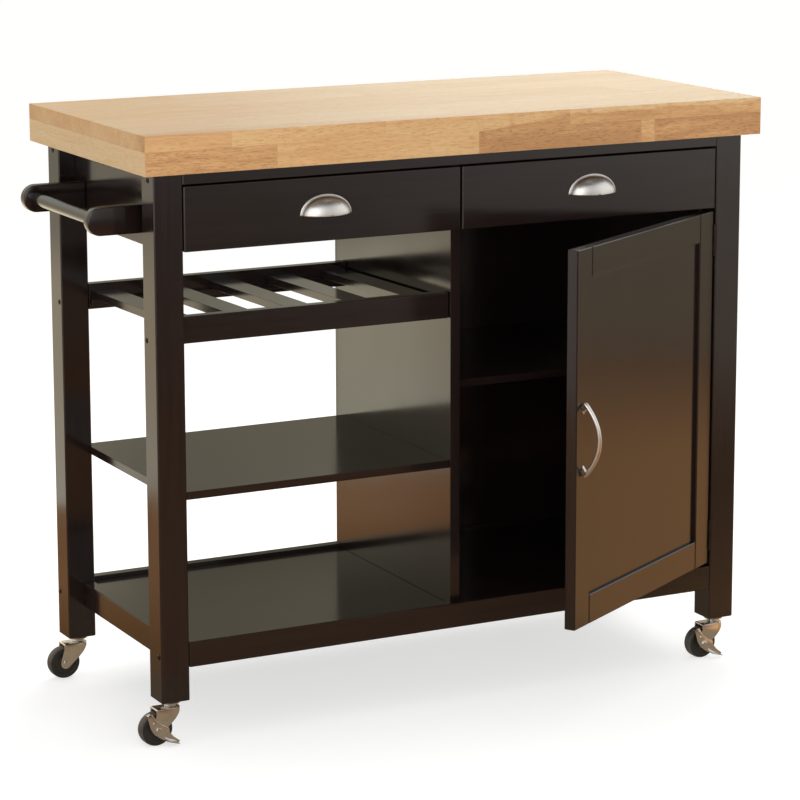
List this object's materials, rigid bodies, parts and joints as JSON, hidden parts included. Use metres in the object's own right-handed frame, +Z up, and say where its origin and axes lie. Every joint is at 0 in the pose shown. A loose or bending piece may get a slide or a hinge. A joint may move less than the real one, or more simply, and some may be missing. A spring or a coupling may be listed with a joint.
{
  "type": "kitchen island cart",
  "caption": "Rolling kitchen island cart: thick butcher-block top, drawers with cup pulls, framed cabinet door, open shelves, slatted bottle rack, side towel rail and swivelling casters.",
  "frame": {"origin": "on the floor, below the centre of the bounding box of the whole cart with its door standing partly open", "axes": "+X to the right seen from the front, +Y towards the back, +Z up"},
  "size_m": [1.0974, 0.6922, 0.915],
  "materials": {
    "block_wood": "edge-glued light hardwood staves, satin oiled",
    "espresso_lacquer": "dark espresso lacquer, semi-gloss",
    "drawer_wood": "dark stained drawer boards, matt",
    "satin_nickel": "satin nickel plate",
    "hinge_steel": "dark bronze plate",
    "zinc_plate": "bright zinc plate",
    "wheel_rubber": "dark grey moulded wheel, matt"
  },
  "bodies": {
    "frame": {"worktop": "block_wood", "leg_front_left": "espresso_lacquer", "leg_front_right": "espresso_lacquer", "leg_rear_left": "espresso_lacquer", "leg_rear_right": "espresso_lacquer", "top_rail_front": "espresso_lacquer", "top_rail_rear": "espresso_lacquer", "apron_rear": "espresso_lacquer", "apron_left": "espresso_lacquer", "side_panel_right": "espresso_lacquer", "bottom_rail_front": "espresso_lacquer", "bottom_rail_rear": "espresso_lacquer", "bottom_rail_left": "espresso_lacquer", "bottom_panel": "espresso_lacquer", "centre_partition": "espresso_lacquer", "cabinet_back": "espresso_lacquer", "cabinet_shelf": "espresso_lacquer", "middle_shelf": "espresso_lacquer", "rack_rail_front": "espresso_lacquer", "rack_rail_rear": "espresso_lacquer", "rack_slat_1": "espresso_lacquer", "rack_slat_2": "espresso_lacquer", "rack_slat_3": "espresso_lacquer", "rack_slat_4": "espresso_lacquer", "rack_slat_5": "espresso_lacquer", "towel_arm_front": "espresso_lacquer", "towel_arm_rear": "espresso_lacquer", "towel_rod": "espresso_lacquer", "hinge_1_frame_leaf": "hinge_steel", "hinge_2_frame_leaf": "hinge_steel", "caster_front_left_seat": "zinc_plate", "caster_front_right_seat": "zinc_plate", "caster_rear_left_seat": "zinc_plate", "caster_rear_right_seat": "zinc_plate"},
    "drawer_left": {"drawer_left_front": "espresso_lacquer", "drawer_left_sides": "drawer_wood", "drawer_left_floor": "drawer_wood", "drawer_left_pull": "satin_nickel"},
    "drawer_right": {"drawer_right_front": "espresso_lacquer", "drawer_right_sides": "drawer_wood", "drawer_right_floor": "drawer_wood", "drawer_right_pull": "satin_nickel"},
    "door": {"door_stile_hinge": "espresso_lacquer", "door_stile_free": "espresso_lacquer", "door_rail_top": "espresso_lacquer", "door_rail_bottom": "espresso_lacquer", "door_panel": "espresso_lacquer", "door_handle": "satin_nickel", "hinge_1_door_leaf": "hinge_steel", "hinge_2_door_leaf": "hinge_steel"},
    "caster_front_left_yoke": {"caster_front_left_fork": "zinc_plate"},
    "caster_front_left_roller": {"caster_front_left_wheel": "wheel_rubber"},
    "caster_front_left_pedal": {"caster_front_left_brake": "zinc_plate"},
    "caster_front_right_yoke": {"caster_front_right_fork": "zinc_plate"},
    "caster_front_right_roller": {"caster_front_right_wheel": "wheel_rubber"},
    "caster_front_right_pedal": {"caster_front_right_brake": "zinc_plate"},
    "caster_rear_left_yoke": {"caster_rear_left_fork": "zinc_plate"},
    "caster_rear_left_roller": {"caster_rear_left_wheel": "wheel_rubber"},
    "caster_rear_right_yoke": {"caster_rear_right_fork": "zinc_plate"},
    "caster_rear_right_roller": {"caster_rear_right_wheel": "wheel_rubber"}
  },
  "joints": [
    {"name": "drawer_left_slide", "type": "slide", "parent": "frame", "child": "drawer_left", "axis": [0, -1, 0], "range_m": [0, 0.26]},
    {"name": "drawer_right_slide", "type": "slide", "parent": "frame", "child": "drawer_right", "axis": [0, -1, 0], "range_m": [0, 0.26]},
    {"name": "door_swing", "type": "hinge", "parent": "frame", "child": "door", "pos_m": [0.47965, -0.09689, 0], "axis": [0, 0, 1], "range_deg": [-31, 79]},
    {"name": "caster_front_left_swivel", "type": "hinge", "parent": "frame", "child": "caster_front_left_yoke", "pos_m": [-0.45285, -0.07389, 0.057], "axis": [0, 0, 1], "continuous": true},
    {"name": "caster_front_left_spin", "type": "hinge", "parent": "caster_front_left_yoke", "child": "caster_front_left_roller", "pos_m": [-0.47785, -0.07389, 0.0254], "axis": [0, 1, 0], "continuous": true},
    {"name": "caster_front_left_brake_pivot", "type": "hinge", "parent": "caster_front_left_yoke", "child": "caster_front_left_pedal", "pos_m": [-0.47785, -0.07389, 0.0254], "axis": [0, -1, 0], "range_deg": [0, 18]},
    {"name": "caster_front_right_swivel", "type": "hinge", "parent": "frame", "child": "caster_front_right_yoke", "pos_m": [0.50515, -0.07389, 0.057], "axis": [0, 0, 1], "continuous": true},
    {"name": "caster_front_right_spin", "type": "hinge", "parent": "caster_front_right_yoke", "child": "caster_front_right_roller", "pos_m": [0.48015, -0.07389, 0.0254], "axis": [0, 1, 0], "continuous": true},
    {"name": "caster_front_right_brake_pivot", "type": "hinge", "parent": "caster_front_right_yoke", "child": "caster_front_right_pedal", "pos_m": [0.48015, -0.07389, 0.0254], "axis": [0, -1, 0], "range_deg": [0, 18]},
    {"name": "caster_rear_left_swivel", "type": "hinge", "parent": "frame", "child": "caster_rear_left_yoke", "pos_m": [-0.45285, 0.30211, 0.057], "axis": [0, 0, 1], "continuous": true},
    {"name": "caster_rear_left_spin", "type": "hinge", "parent": "caster_rear_left_yoke", "child": "caster_rear_left_roller", "pos_m": [-0.47785, 0.30211, 0.0254], "axis": [0, 1, 0], "continuous": true},
    {"name": "caster_rear_right_swivel", "type": "hinge", "parent": "frame", "child": "caster_rear_right_yoke", "pos_m": [0.50515, 0.30211, 0.057], "axis": [0, 0, 1], "continuous": true},
    {"name": "caster_rear_right_spin", "type": "hinge", "parent": "caster_rear_right_yoke", "child": "caster_rear_right_roller", "pos_m": [0.48015, 0.30211, 0.0254], "axis": [0, 1, 0], "continuous": true}
  ]
}
